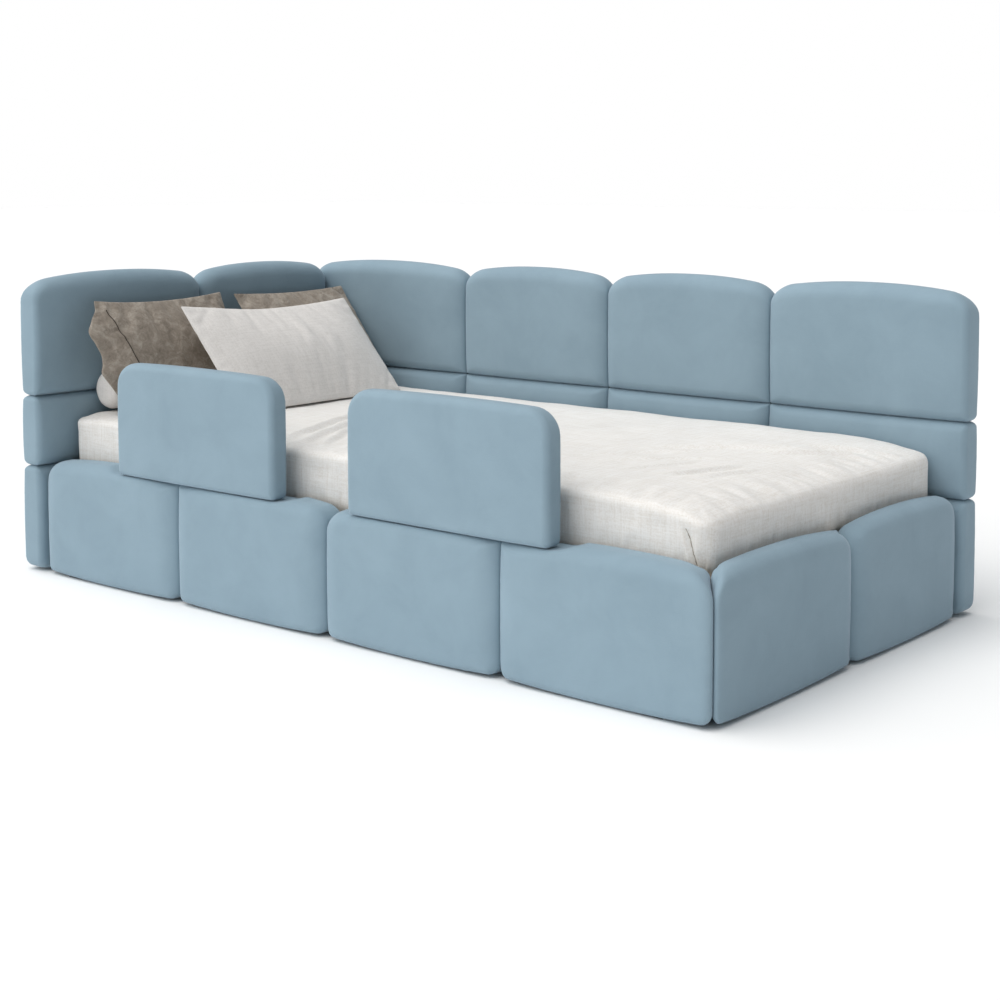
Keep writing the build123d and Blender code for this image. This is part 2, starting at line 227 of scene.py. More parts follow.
def linen_material(name, pale, deep, slub_depth, hem=None):
    """Slub linen: uneven threads along each axis, a little darker between them, and with painted shade towards
    a hem.

    hem is the (low, high) span of heights, in metres, over which that painted shade fades out.
    """
    material, tree, shader = new_material(name)
    slubs = []
    for stretch in ((0.05, 1.0, 1.0), (1.0, 0.05, 1.0), (1.0, 1.0, 0.05)):
        slubs.append(noise_value(tree, 300.0, detail=3.0, roughness=0.65, stretch=stretch))
    crossing = mix(tree, "MIX", 0.5, slubs[0], slubs[1])
    crossing = mix(tree, "MIX", 0.34, crossing, slubs[2])
    threads = ramp(tree, crossing, [(0.36, deep), (0.56, pale)])
    wash = noise_value(tree, 7.0, detail=3.0)
    tone = ramp(tree, wash, [(0.3, 0.95), (0.7, 1.0)])
    colour = mix(tree, "MULTIPLY", 1.0, threads, tone)
    # Painted shade: the colour turns darker and warmer towards the hem, for the shadow along the sheet's bottom
    # edge
    if hem:
        split = tree.nodes.new("ShaderNodeSeparateXYZ")
        tree.links.new(object_coordinates(tree), split.inputs["Vector"])
        shade = ramp(tree, split.outputs["Z"], [(hem[0], (0.86, 0.80, 0.73)), (hem[1], 1.0)])
        colour = mix(tree, "MULTIPLY", 1.0, colour, shade)
    tree.links.new(colour, shader.inputs["Base Color"])
    sheen = {"Sheen Weight": 0.12, "Sheen Roughness": 0.5}
    set_inputs(shader, {"Roughness": 0.9, "Specular IOR Level": 0.15, **sheen})
    fibre = noise_value(tree, 1600.0, roughness=0.6)
    add_bump(tree, shader, [(crossing, slub_depth, 0.0012), (fibre, 0.25, 0.0004)])
    return material


def crushed_velvet_material():
    """Taupe crushed velvet: the pile lies in patches that catch the light or drink it."""
    material, tree, shader = new_material("velvet_taupe")
    patches = noise_value(tree, 26.0, detail=6.0, roughness=0.62, distortion=1.4)
    creases = noise_value(tree, 70.0, detail=4.0, roughness=0.6, distortion=2.2)
    lie = mix(tree, "MIX", 0.35, patches, creases)
    shades = [(0.33, (0.180, 0.148, 0.117)), (0.5, (0.300, 0.257, 0.214)), (0.66, (0.450, 0.400, 0.343))]
    colour = ramp(tree, lie, shades)
    tree.links.new(colour, shader.inputs["Base Color"])
    sheen_patches = ramp(tree, lie, [(0.35, 0.55), (0.65, 0.8)])
    tree.links.new(sheen_patches, shader.inputs["Roughness"])
    sheen = {"Sheen Weight": 0.4, "Sheen Roughness": 0.35, "Sheen Tint": (1.0, 0.93, 0.85, 1.0)}
    set_inputs(shader, {"Specular IOR Level": 0.25, **sheen})
    pile = noise_value(tree, 1100.0, roughness=0.6)
    add_bump(tree, shader, [(lie, 0.5, 0.006), (pile, 0.35, 0.0006)])
    return material


PORES_PER_RING = 9


def wood_material(name, pale, deep, grain, stretch):
    """Long grain along one axis, with finer pores over it."""
    material, tree, shader = new_material(name)
    rings = noise_value(tree, grain, detail=5.0, roughness=0.55, distortion=1.2, stretch=stretch)
    colour = ramp(tree, rings, [(0.32, deep), (0.6, pale)])
    tree.links.new(colour, shader.inputs["Base Color"])
    shader.inputs["Roughness"].default_value = 0.62
    pores = noise_value(tree, grain * PORES_PER_RING, roughness=0.6, stretch=stretch)
    add_bump(tree, shader, [(rings, 0.2, 0.0006), (pores, 0.25, 0.0003)])
    return material


def grained_material(name, scale, stops, roughness, detail=2.0, grain_roughness=0.5, bump=None):
    """A plain material with a fine grain in its colour, and in its surface where bump is (strength, height)."""
    material, tree, shader = new_material(name)
    grain = noise_value(tree, scale, detail=detail, roughness=grain_roughness)
    tree.links.new(ramp(tree, grain, stops), shader.inputs["Base Color"])
    shader.inputs["Roughness"].default_value = roughness
    if bump:
        add_bump(tree, shader, [(grain, *bump)])
    return material


def steel_material():
    material, tree, shader = new_material("zinc_steel")
    brushing = noise_value(tree, 700.0, detail=3.0, roughness=0.6, stretch=(1.0, 1.0, 0.05))
    colour = ramp(tree, brushing, [(0.3, (0.50, 0.50, 0.49)), (0.7, (0.66, 0.66, 0.65))])
    tree.links.new(colour, shader.inputs["Base Color"])
    shader.inputs["Metallic"].default_value = 1.0
    rough = ramp(tree, brushing, [(0.3, 0.30), (0.7, 0.42)])
    tree.links.new(rough, shader.inputs["Roughness"])
    add_bump(tree, shader, [(brushing, 0.15, 0.0002)])
    return material


VELOUR = velour_material()
# The sheet gets painted shade towards its hem, fading out between 0.225 m and 0.255 m up
SHEET_LINEN = linen_material(
    "linen_sheet", pale=(0.85, 0.835, 0.815), deep=(0.72, 0.68, 0.63), slub_depth=0.6, hem=(0.225, 0.255)
)
PILLOW_LINEN = linen_material(
    "linen_pillow", pale=(0.81, 0.78, 0.755), deep=(0.69, 0.66, 0.63), slub_depth=0.3
)
TAUPE = crushed_velvet_material()
# Thread for the pillow's flap edge, far darker than the velvet: partly real stitching and partly painted shade
# along the flap's crease
BROWN_THREAD_PAINTED_SHADE = grained_material(
    "brown_thread_painted_shade", 800.0, [(0.3, (0.040, 0.031, 0.024)), (0.7, (0.065, 0.052, 0.041))], roughness=0.9
)
# Thread for the sheet's corner seam, far darker than the linen: partly real stitching and partly painted shade
# of the crease beside it
LINEN_THREAD_PAINTED_SHADE = grained_material(
    "linen_thread_painted_shade", 800.0, [(0.3, (0.30, 0.26, 0.22)), (0.7, (0.38, 0.34, 0.29))], roughness=0.9
)

# The boards inside the blocks are dark slate here, not bare birch: painted shade, so that the gaps between
# blocks look deep and shadowed
PLYWOOD_PAINTED_SHADE = wood_material(
    "plywood", pale=(0.060, 0.080, 0.095), deep=(0.038, 0.052, 0.062), grain=14.0, stretch=(1.0, 1.0, 6.0)
)
PINE = wood_material(
    "pine", pale=(0.80, 0.64, 0.43), deep=(0.62, 0.44, 0.26), grain=16.0, stretch=(6.0, 1.0, 6.0)
)
FOAM = grained_material(
    "foam_cover", 260.0, [(0.35, (0.78, 0.74, 0.62)), (0.65, (0.87, 0.84, 0.74))], roughness=0.95,
    detail=3.0, grain_roughness=0.6, bump=(0.5, 0.0015),
)
PLASTIC = grained_material(
    "glide_plastic", 900.0, [(0.3, (0.020, 0.020, 0.022)), (0.7, (0.032, 0.032, 0.034))], roughness=0.55,
    bump=(0.3, 0.0002),
)
STEEL = steel_material()
FLOOR = grained_material("studio_floor", 3.0, [(0.3, 0.965), (0.7, 0.975)], roughness=0.9, detail=3.0)


# ---------------- upholstered slabs

ROUND_STEPS = 8
CELL = 0.010
SEAM_CORNER = 0.004
THIN = 0.002
OPEN_END = (0.013, 0.012)  # a block's end that is not a seam: (reach, depth) of its rounding
MITRE_END = (0.030, 0.014)

# Powers of a face's fall from its crest, and of the bow of its outline: across the face, and up it
CROWN_ACROSS = 3.5
CROWN_UP = 2.4
BOW_ACROSS = 2.2
BOW_UP = 2

# A face's slow unevenness, which fades at its outline, and the small puckers beside its seams
WOBBLE_SCALE = 11
WOBBLE_FADE = 0.02
FACE_PUCKER_SCALE = 70
FACE_PUCKER_REACH = 0.05
FACE_SEED_STEP = 20  # how far apart the two faces of a slab are drawn from the noise


def edge_stations(half, low_radius, high_radius, cell):
    """Stations from -half to half: closer together over the rounded edges."""
    arc = [1 - math.cos(math.pi / 2 * step / ROUND_STEPS) for step in range(ROUND_STEPS)]
    low = [-half + low_radius * share for share in arc]
    high = [half - high_radius * share for share in arc]
    start, end = -half + low_radius, half - high_radius
    count = max(2, int(round((end - start) / cell)))
    middle = [start + (end - start) * step / count for step in range(count + 1)]
    return low + middle + high[::-1]


def rounded_drop(distance, reach, depth):
    """How far a rounded edge has fallen at this distance from the outline, of depth in all."""
    if distance >= reach:
        return 0.0
    return depth * (1 - math.sqrt(1 - (1 - max(0.0, distance) / reach) ** 2))


def smooth_step(value):
    value = min(1.0, max(0.0, value))
    return value * value * (3 - 2 * value)


def smooth_noise(x, y, z):
    """Smooth noise between about -1 and 1, the same at the same place each run."""
    return noise.noise(Vector((x, y, z)))


def edge_drop(to_side, to_end, radius, side, end):
    """How far the face has fallen near its outline; side and end are (reach, depth) of the rounded edges.

    Inside a corner's arc the fall turns smoothly from the side's rounding to the end's.
    """
    if to_side >= radius or to_end >= radius:
        return max(rounded_drop(to_side, *side), rounded_drop(to_end, *end))
    turn = smooth_step(math.atan2(radius - to_end, radius - to_side) / (math.pi / 2))
    reach = side[0] + (end[0] - side[0]) * turn
    depth = side[1] + (end[1] - side[1]) * turn
    around = max(rounded_drop(radius, *side), rounded_drop(radius, *end))
    return max(around, rounded_drop(min(to_side, to_end), reach, depth))


def round_corner(x, z, half_x, half_z, radius):
    """Pulls a point of the rectangle's corner square into the corner's quarter circle."""
    over_x = abs(x) - (half_x - radius)
    over_z = abs(z) - (half_z - radius)
    if over_x <= 0 or over_z <= 0:
        return x, z
    squeeze = max(over_x, over_z) / math.hypot(over_x, over_z)
    return (
        math.copysign(half_x - radius + over_x * squeeze, x),
        math.copysign(half_z - radius + over_z * squeeze, z),
    )


def slab_face(xs, zs, half, face, corners, ends, rise, seed):
    """One face's points, as (x, z, distance from the slab's middle plane).

    face is a style from face_style. corners maps (right, upper) to a radius, of which the face takes a
    share. ends holds the rounding of the (left, right) side where it is not the face's own, and rise is how
    far the outline's (bottom, top) edges bow outwards between the corners.
    """
    half_x, half_t, half_z = half
    rows = []
    for x in xs:
        row = []
        for z in zs:
            radius = max(corners[(x > 0, z > 0)] * face["corner_share"], SEAM_CORNER)
            px, pz = round_corner(x, z, half_x, half_z, radius)
            across, up = abs(px) / half_x, abs(pz) / half_z
            to_side, to_end = half_x - abs(x), half_z - abs(z)
            to_outline = min(to_side, to_end)
            end = face["top"] if z > 0 else face["low"]
            side = ends[x > 0] or (face["side"], face["side_fall"])
            fall = face["crown_top"] if z > 0 else face["crown_low"]
            depth = half_t - edge_drop(to_side, to_end, radius, side, (end, end))
            depth -= face["crown"] * across ** CROWN_ACROSS + fall * up ** CROWN_UP
            wobble = smooth_noise(px * WOBBLE_SCALE, pz * WOBBLE_SCALE, seed)
            pucker = smooth_noise(px * FACE_PUCKER_SCALE, pz * FACE_PUCKER_SCALE, seed)
            depth += face["wobble"] * min(1.0, to_outline / WOBBLE_FADE) * wobble
            depth += face["pucker"] * max(0.0, 1 - to_outline / FACE_PUCKER_REACH) * pucker
            bow = (rise[1] if pz > 0 else -rise[0]) * across ** BOW_ACROSS * up ** BOW_UP
            row.append((px, pz - bow, max(depth, face["least"])))
        rows.append(row)
    return rows


def border(rows):
    """The vertices round a grid's rim, in order."""
    last = len(rows[0]) - 1
    bottom = [row[0] for row in rows]
    right = rows[-1][1:]
    top = [row[last] for row in reversed(rows[:-1])]
    left = list(reversed(rows[0][1:last]))
    return bottom + right + top + left


def fill_grid(work, rows):
    """Faces between the neighbouring vertices of a grid."""
    for first, second in zip(rows[:-1], rows[1:]):
        for k in range(len(first) - 1):
            work.faces.new((first[k], second[k], second[k + 1], first[k + 1]))


def fill_ring(work, first, second):
    """Faces between two closed loops of as many vertices."""
    for k in range(len(first)):
        follow = (k + 1) % len(first)
        work.faces.new((first[k], first[follow], second[follow], second[k]))


def finish_mesh(work, name, smooth=True):
    """The mesh that a work mesh holds, with its faces turned outwards."""
    bmesh.ops.recalc_face_normals(work, faces=work.faces)
    for face in work.faces:
        face.smooth = smooth
    mesh = bpy.data.meshes.new(name)
    work.to_mesh(mesh)
    work.free()
    return mesh


def slab_mesh(name, half, faces, corners, ends, rise, seed, shape, cell=CELL):
    """A closed slab with two crowned faces and rounded edges. half is (x, thickness, z).

    faces are the near (-thickness) and far faces; shape takes a local point to the bed's frame.
    """
    near_face = faces[0]
    reach = [end[0] if end else near_face["side"] for end in ends]
    xs = edge_stations(half[0], reach[0], reach[1], cell)
    zs = edge_stations(half[2], near_face["low"], near_face["top"], cell)
    work = bmesh.new()
    grids = []
    for side, face in zip((-1, 1), faces):
        rows = slab_face(xs, zs, half, face, corners, ends, rise, seed + FACE_SEED_STEP * side)
        grid = []
        for row in rows:
            grid.append([work.verts.new(shape(Vector((px, side * depth, pz)))) for px, pz, depth in row])
        grids.append(grid)
    for grid in grids:
        fill_grid(work, grid)
    near_rim, far_rim = (border(grid) for grid in grids)
    fill_ring(work, near_rim, far_rim)
    return finish_mesh(work, name)


def add_piece(name, mesh, material, body, nodes):
    piece = bpy.data.objects.new(name, mesh)
    bpy.context.collection.objects.link(piece)
    mesh.materials.append(material)
    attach(piece, body)
    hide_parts(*nodes)
    return piece


def along_x(low, high):
    """Takes local slab axes to the bed's frame, for a panel that runs along X."""
    centre = [(a + b) / 2 for a, b in zip(low, high)]
    return lambda co: Vector((centre[0] + co.x, centre[1] + co.y, centre[2] + co.z))


def along_y(low, high):
    """The same for a panel that runs along Y, with the thickness along X."""
    centre = [(a + b) / 2 for a, b in zip(low, high)]
    return lambda co: Vector((centre[0] + co.y, centre[1] + co.x, centre[2] + co.z))


def even_corners(lower, upper):
    """Corner radii of an outline that is the same at both ends."""
    return {(right, up): upper if up else lower for right in (False, True) for up in (False, True)}


def face_style(edges, crowns, side_fall, corner_share=1.0, wobble=0.0009, least=THIN):
    """How a slab's face is shaped.

    edges is how far the rounding reaches in from the (side, top, bottom), and side_fall how deep it goes at
    the sides. crowns is how far the face falls from its crest to its (sides, top, bottom). The face never
    comes nearer to the slab's middle plane than least, or past it where least is negative.
    """
    side, top, low = edges
    crown, crown_top, crown_low = crowns
    return {
        "side": side, "top": top, "low": low, "side_fall": side_fall,
        "crown": crown, "crown_top": crown_top, "crown_low": crown_low,
        "corner_share": corner_share, "wobble": wobble, "pucker": 0.5 * wobble, "least": least,
    }


# ---------------- upholstery blocks

HIGH_RISE = 0.018
FRONT_RISE = 0.013
LOW_BOW = 0.005
FREE_CORNER = 0.050
HIGH_CORNER = 0.046
FRONT_CORNER = 0.045
FLOOR_CORNER = 0.024
END_SEAM_CORNER = 0.012
SEAT_CORNER = 0.006
MITRE_REACH = 0.11
SEAT_REACH = 0.080
SEAT_GAP = 0.0015
SEAT_SWELL = 0.020
SEAT_SOFTNESS = 0.06  # the share of a block's swell that is left in its seat
FIRST_SEED = 1.0
SEED_STEP = 3.1
AT_THE_END = 0.01  # a block this near to the bed's own end is the last of its row
MITRED_BLOCKS = ("front_pad_4", "foot_pad_1")

ROW_STYLES = {
    "top": face_style((0.040, 0.034, 0.022), (0.007, 0.003, 0.004), side_fall=0.018),
    "mid": face_style((0.040, 0.020, 0.020), (0.007, 0.004, 0.004), side_fall=0.018),
    "low": face_style((0.040, 0.020, 0.014), (0.007, 0.004, 0.002), side_fall=0.018),
}
SHOW_STYLE = face_style((0.046, 0.028, 0.016), (0.003, 0.003, 0.002), side_fall=0.0215, least=-0.008)
INNER_EDGES = (0.013, 0.016, 0.010)
INNER_CROWNS = (0.001, 0.001, 0.001)
INNER_STYLE = face_style(INNER_EDGES, INNER_CROWNS, side_fall=0.010, corner_share=0.8)
CORNER_INNER_STYLE = face_style(INNER_EDGES, INNER_CROWNS, side_fall=0.010, corner_share=0.35)


def mitre_bend(axis, corner, run, depth):
    """Shears a block's last stretch so that its end face lies on the mitre line."""
    other = 1 - axis

    def bend(point):
        reach = smooth_step(1 - abs(point[axis] - corner[axis]) / MITRE_REACH)
        inward = abs(point[other] - corner[other]) / depth * run
        point[axis] += inward * reach * (1 if corner[axis] < 0 else -1)
        return point

    return bend


def guard_seats():
    """(start, end, floor) of the dents that the guard rails press into the front blocks."""
    seats = []
    for letter in "ab":
        low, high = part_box("guard_" + letter + "_pad")
        seats.append((low[0], high[0], low[2] - SEAT_GAP))
    return seats


def under_guard(x):
    return any(start < x < end for start, end, floor in guard_seats())


def press_seats(point, seats):
    """Holds a block's top down under a guard rail, and lets it swell up again beside the rail."""
    for start, end, floor in seats:
        beyond = max(start - point.x, point.x - end, 0.0)
        ceiling = floor + SEAT_SWELL * smooth_step(beyond / SEAT_REACH)
        if beyond < SEAT_REACH and point.z > ceiling:
            point.z = ceiling + SEAT_SOFTNESS * (point.z - ceiling)
    return point


def block_ends(node, low, high):
    """The rounding of a block's two sides where they are not seams: (reach, depth), or None at a seam."""
    if node.startswith("head") and low[1] < cad_box[0][1] + AT_THE_END:
        return (OPEN_END, None)
    if node.startswith("back") and high[0] > cad_box[1][0] - AT_THE_END:
        return (None, OPEN_END)
    if node == "front_pad_4":
        return (None, MITRE_END)
    if node == "foot_pad_1":
        return (MITRE_END, None)
    return (None, None)


def block_corners(panel, row, ends, low, high):
    """Corner radii of a block's outline: square at the seams, round where the block ends the panel."""
    corners = {}
    for right in (False, True):
        for upper in (False, True):
            radius = SEAM_CORNER
            if row == "low" and not upper:
                radius = FLOOR_CORNER
            if upper and row == "top":
                radius = HIGH_CORNER
            if upper and panel in ("front", "foot"):
                radius = FRONT_CORNER
            if upper and panel == "front" and under_guard(high[0] if right else low[0]):
                radius = SEAT_CORNER
            if ends[right] == OPEN_END:
                radius = max(radius, FREE_CORNER if upper and row == "top" else END_SEAM_CORNER)
            corners[(right, upper)] = radius
    return corners


def block_faces(node, row):
    """Styles of a block's near and far face: the low panels have a full outer face and a tight inner one."""
    if node.startswith(("head", "back")):
        return [ROW_STYLES[row], ROW_STYLES[row]]
    inner = CORNER_INNER_STYLE if node in MITRED_BLOCKS else INNER_STYLE
    return [SHOW_STYLE, inner] if node.startswith("front") else [inner, SHOW_STYLE]


def mitre(node, low, high):
    """Stretches a mitred block's box to the corner. Returns its bend, or None for any other block."""
    corner = (cad_box[1][0], cad_box[0][1])
    foot_depth = corner[0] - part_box("foot_pad_2")[0][0]
    front_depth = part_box("front_pad_2")[1][1] - corner[1]
    if node == "front_pad_4":
        high[0] = corner[0]
        return mitre_bend(0, corner, foot_depth, front_depth)
    if node == "foot_pad_1":
        low[1] = corner[1]
        return mitre_bend(1, corner, front_depth, foot_depth)
    return None


def add_block(node, seed):
    """One upholstered block in the space of its CAD node."""
    panel = node.split("_")[0]
    row = node.split("_")[1] if panel in ("head", "back") else "low"
    low, high = (list(v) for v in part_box(node))
    rise = [LOW_BOW if row == "low" else 0.0, HIGH_RISE if row == "top" else 0.0]
    if panel in ("front", "foot"):
        rise[1] = FRONT_RISE
        high[2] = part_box("front_pad_1")[1][2]
    bend = mitre(node, low, high)
    runs_x = panel in ("back", "front")
    place = along_x(low, high) if runs_x else along_y(low, high)
    spans = [(b - a) / 2 for a, b in zip(low, high)]
    half = spans if runs_x else [spans[1], spans[0], spans[2]]
    seats = guard_seats() if panel == "front" else []

    def shape(co):
        point = press_seats(place(co), seats)
        return bend(point) if bend else point

    ends = block_ends(node, low, high)
    corners = block_corners(panel, row, ends, low, high)
    mesh = slab_mesh(node, half, block_faces(node, row), corners, ends, rise, seed, shape)
    piece = add_piece("velour_" + node, mesh, VELOUR, "frame", [node])


def add_blocks():
    blocks = [node for node in sorted(frame["nodes"]) if "_pad" in node and not node.startswith("guard")]
    for number, node in enumerate(blocks):
        add_block(node, FIRST_SEED + SEED_STEP * number)


# ---------------- guard rails

GUARD_STYLE = face_style((0.013, 0.016, 0.013), (0.003, 0.002, 0.001), side_fall=0.012)
GUARD_TOP_CORNER = 0.048
GUARD_LOW_CORNER = 0.013
GUARD_RISE = (0.0, 0.004)
GUARD_SEED = 90.0


def add_guards():
    corners = even_corners(GUARD_LOW_CORNER, GUARD_TOP_CORNER)
    for number, letter in enumerate("ab"):
        node = "guard_" + letter + "_pad"
        low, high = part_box(node)
        spans = [(b - a) / 2 for a, b in zip(low, high)]
        faces = [GUARD_STYLE, GUARD_STYLE]
        ends = (OPEN_END, OPEN_END)
        seed = GUARD_SEED + number
        mesh = slab_mesh(node, spans, faces, corners, ends, GUARD_RISE, seed, along_x(low, high))
        piece = add_piece("velour_" + node, mesh, VELOUR, "guard_" + letter, [node])


# ---------------- stitched seams

THREAD_STEPS = 40
THREAD_SIDES = 6
RAY_START = 0.3  # how far in front of the cloth the search for it starts


def add_thread(name, cloth, starts, radius, material, body):
    """A thin stitched line on a piece of cloth, where lines along Y from the starts meet it."""
    mesh = cloth.data
    surface = BVHTree.FromPolygons([v.co for v in mesh.vertices], [f.vertices for f in mesh.polygons])
    work = bmesh.new()
    loops = []
    for start in starts:
        hit = surface.ray_cast(start, Vector((0, 1, 0)))[0]
        loop = []
        for k in range(THREAD_SIDES):
            angle = 2 * math.pi * k / THREAD_SIDES
            loop.append(work.verts.new(hit + Vector((math.cos(angle), math.sin(angle), 0)) * radius))
        loops.append(loop)
    for first, second in zip(loops[:-1], loops[1:]):
        fill_ring(work, first, second)
    work.faces.new(loops[0])
    work.faces.new(loops[-1])
    strand = finish_mesh(work, name, smooth=False)
    strand.materials.append(material)
    piece = bpy.data.objects.new(name, strand)
    bpy.context.collection.objects.link(piece)
    piece.matrix_world = cloth.matrix_world
    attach(piece, body)


# ---------------- mattress and sheet

SHEET_CELL = 0.0046
SHEET_EDGE = 0.009
SHEET_CORNER = 0.030
SHEET_RINGS = 15
SHEET_TUCK = 0.005
TUCK_START = 0.82  # how far down the sides the hem starts to tuck in
SIDE_GROWTH = 5  # how fast the sides' slack grows below the edge
MATTRESS_GAP = 0.006
MATTRESS_ROUND = 0.014
MATTRESS_CELL = 0.03
MATTRESS_SEED = 5.0
CALM_REACH = 0.10  # the sides lie calm this near to the back foot corner

# The dart at the sheet's front foot corner: places are distances before the foot end, at its top and its hem
DART_START = 0.050
DART_END = 0.022
DART_WIDTH = 0.005
DART_DEPTH = 0.006
DART_THREAD = 0.0008
DART_SPAN = (0.12, 0.96)  # where its stitching starts and ends, down the side
DART_FADE = (0.05, 0.30)  # how far down the side it starts, and how slowly

# How far the top rolls down towards each side: (reach, drop) in metres
FOOT_ROLL = (0.210, 0.036)
FRONT_ROLL = (0.110, 0.014)
BACK_ROLL = (0.050, 0.006)
HEAD_ROLL = (0.120, 0.010)

# Height of the puckers along the foot and front edges, their middle's distance from the edge, and their width
EDGE_PUCKER = 0.0050
EDGE_PUCKER_MIDDLE = 0.045
EDGE_PUCKER_WIDTH = 0.042
RIPPLE = 0.0020  # height of the slack all over the top

# How far in the sides' slack hangs: at the upright folds, at the hem's gathers, and at the small folds
UPRIGHT_DEPTH = 0.0040
GATHER_DEPTH = 0.0060
SMALL_FOLD_DEPTH = 0.0030

# A fold runs on past its ends by a share of its length and fades out; the hollow beside it is a share as deep
FOLD_OVERRUN = 0.35
FOLD_FADE = 0.5
FOLD_HOLLOW = 0.7
HOLLOW_PLACE = 1.7  # in widths of the fold
FOLD_WANDER = 0.009

# Soft folds on the top, as (start, end, width, height): places are metres from the head and from the front
FOLDS = [
    ((0.590, 0.110), (0.503, 0.342), 0.0105, 0.0074),
    ((0.655, 0.080), (0.560, 0.300), 0.0100, 0.0066),
    ((0.716, 0.060), (0.640, 0.190), 0.0090, 0.0052),
    ((0.790, 0.050), (0.745, 0.120), 0.0080, 0.0042),
    ((1.345, 0.190), (1.385, 0.300), 0.0085, 0.0026),
    ((1.430, 0.190), (1.470, 0.310), 0.0080, 0.0046),
    ((1.480, 0.220), (1.515, 0.310), 0.0075, 0.0032),
    ((1.180, 0.250), (1.330, 0.430), 0.0120, 0.0022),
    ((1.270, 0.250), (1.370, 0.360), 0.0100, 0.0024),
    ((1.260, 0.420), (1.420, 0.560), 0.0130, 0.0044),
    ((1.450, 0.500), (1.540, 0.600), 0.0110, 0.0050),
    ((1.470, 0.620), (1.570, 0.690), 0.0110, 0.0044),
]


def roll(distance, reach_and_drop):
    """How far the padded top has sunk at this distance from one of its sides."""
    reach, drop = reach_and_drop
    if distance >= reach:
        return 0.0
    along = 1 - max(0.0, distance) / reach
    return drop * (1 - math.sqrt(max(0.0, 1 - along ** 2)))


def mattress_fall(x, y, length, width):
    return roll(x, HEAD_ROLL) + roll(length - x, FOOT_ROLL) + roll(y, FRONT_ROLL) + roll(width - y, BACK_ROLL)


def fold_height(x, y):
    """Height of the folds at a place on the mattress: a soft ridge with a hollow beside it."""
    total = 0.0
    wander = FOLD_WANDER * smooth_noise(x * 13, y * 13, 4.0)
    for (x0, y0), (x1, y1), width, height in FOLDS:
        run = math.hypot(x1 - x0, y1 - y0)
        along = ((x - x0) * (x1 - x0) + (y - y0) * (y1 - y0)) / run ** 2
        before, after = along + FOLD_OVERRUN, 1 + FOLD_OVERRUN - along
        if before <= 0 or after <= 0:
            continue
        off = ((x - x0) * (y1 - y0) - (y - y0) * (x1 - x0)) / run + wander
        fade = smooth_step(before / FOLD_FADE) * smooth_step(after / FOLD_FADE)
        ridge = math.exp(-(off / width) ** 2)
        hollow = math.exp(-((off - HOLLOW_PLACE * width) / width) ** 2)
        total += height * fade * (ridge - FOLD_HOLLOW * hollow)
    return total


def sheet_relief(x, y, length):
    """Folds, edge puckers and slack of the sheet's top, above or below the mattress under it."""
    foot, front = length - x, y
    edge = min(foot, front)
    run, across = (y, foot) if foot < front else (x, front)
    pucker = math.exp(-((edge - EDGE_PUCKER_MIDDLE) / EDGE_PUCKER_WIDTH) ** 2)
    waves = smooth_noise(run * 34, across * 10, 2.0) + 0.35 * smooth_noise(run * 66, across * 14, 3.0)
    ripple = smooth_noise(x * 7, y * 9, 7.0) + 0.45 * smooth_noise(x * 19, y * 22, 9.0)
    return fold_height(x, y) + EDGE_PUCKER * pucker * waves + RIPPLE * ripple


def side_relief(x, y, depth):
    """Slack of the sheet's sides: upright puckers, gathered towards the hem. Negative is inwards."""
    upright = abs(smooth_noise(x * 24, y * 24, depth * 1.4)) * (1 - 0.4 * depth)
    gathers = abs(smooth_noise(x * 75, y * 75, depth * 2.5)) * depth ** 2
    small_folds = abs(smooth_noise(x * 46, y * 46, depth * 0.8 + 5.0))
    return -UPRIGHT_DEPTH * upright - GATHER_DEPTH * gathers - SMALL_FOLD_DEPTH * small_folds


def corner_fold(from_corner, depth):
    """The folded-over dart on the sheet's front side, just before the foot corner."""
    place = DART_START + (DART_END - DART_START) * depth
    groove = math.exp(-((from_corner - place) / DART_WIDTH) ** 2)
    ridge = math.exp(-((from_corner - place - 2 * DART_WIDTH) / DART_WIDTH) ** 2)
    start, softness = DART_FADE
    return smooth_step((depth - start) / softness) * DART_DEPTH * (0.5 * ridge - groove)


def outward_normal(x, y, half_x, half_y, radius):
    """The direction away from a rounded rectangle, at a point of its outline."""
    over_x = max(0.0, abs(x) - (half_x - radius))
    over_y = max(0.0, abs(y) - (half_y - radius))
    reach = math.hypot(over_x, over_y) or 1.0
    return Vector((math.copysign(over_x, x) / reach, math.copysign(over_y, y) / reach, 0.0))


def sheet_top(work, centre, half_x, half_y, top):
    """The vertices of the sheet's top and its rounded edge, as a grid."""
    length, width = 2 * half_x, 2 * half_y
    rows = []
    for x in edge_stations(half_x, SHEET_EDGE, SHEET_EDGE, SHEET_CELL):
        row = []
        for y in edge_stations(half_y, SHEET_EDGE, SHEET_EDGE, SHEET_CELL):
            px, py = round_corner(x, y, half_x, half_y, SHEET_CORNER)
            from_head, from_front = px + half_x, py + half_y
            drop = rounded_drop(min(half_x - abs(x), half_y - abs(y)), SHEET_EDGE, SHEET_EDGE)
            rise = sheet_relief(from_head, from_front, length) * (1 - drop / SHEET_EDGE)
            z = top - drop - mattress_fall(from_head, from_front, length, width) + rise
            row.append(work.verts.new(centre + Vector((px, py, z))))
        rows.append(row)
    return rows


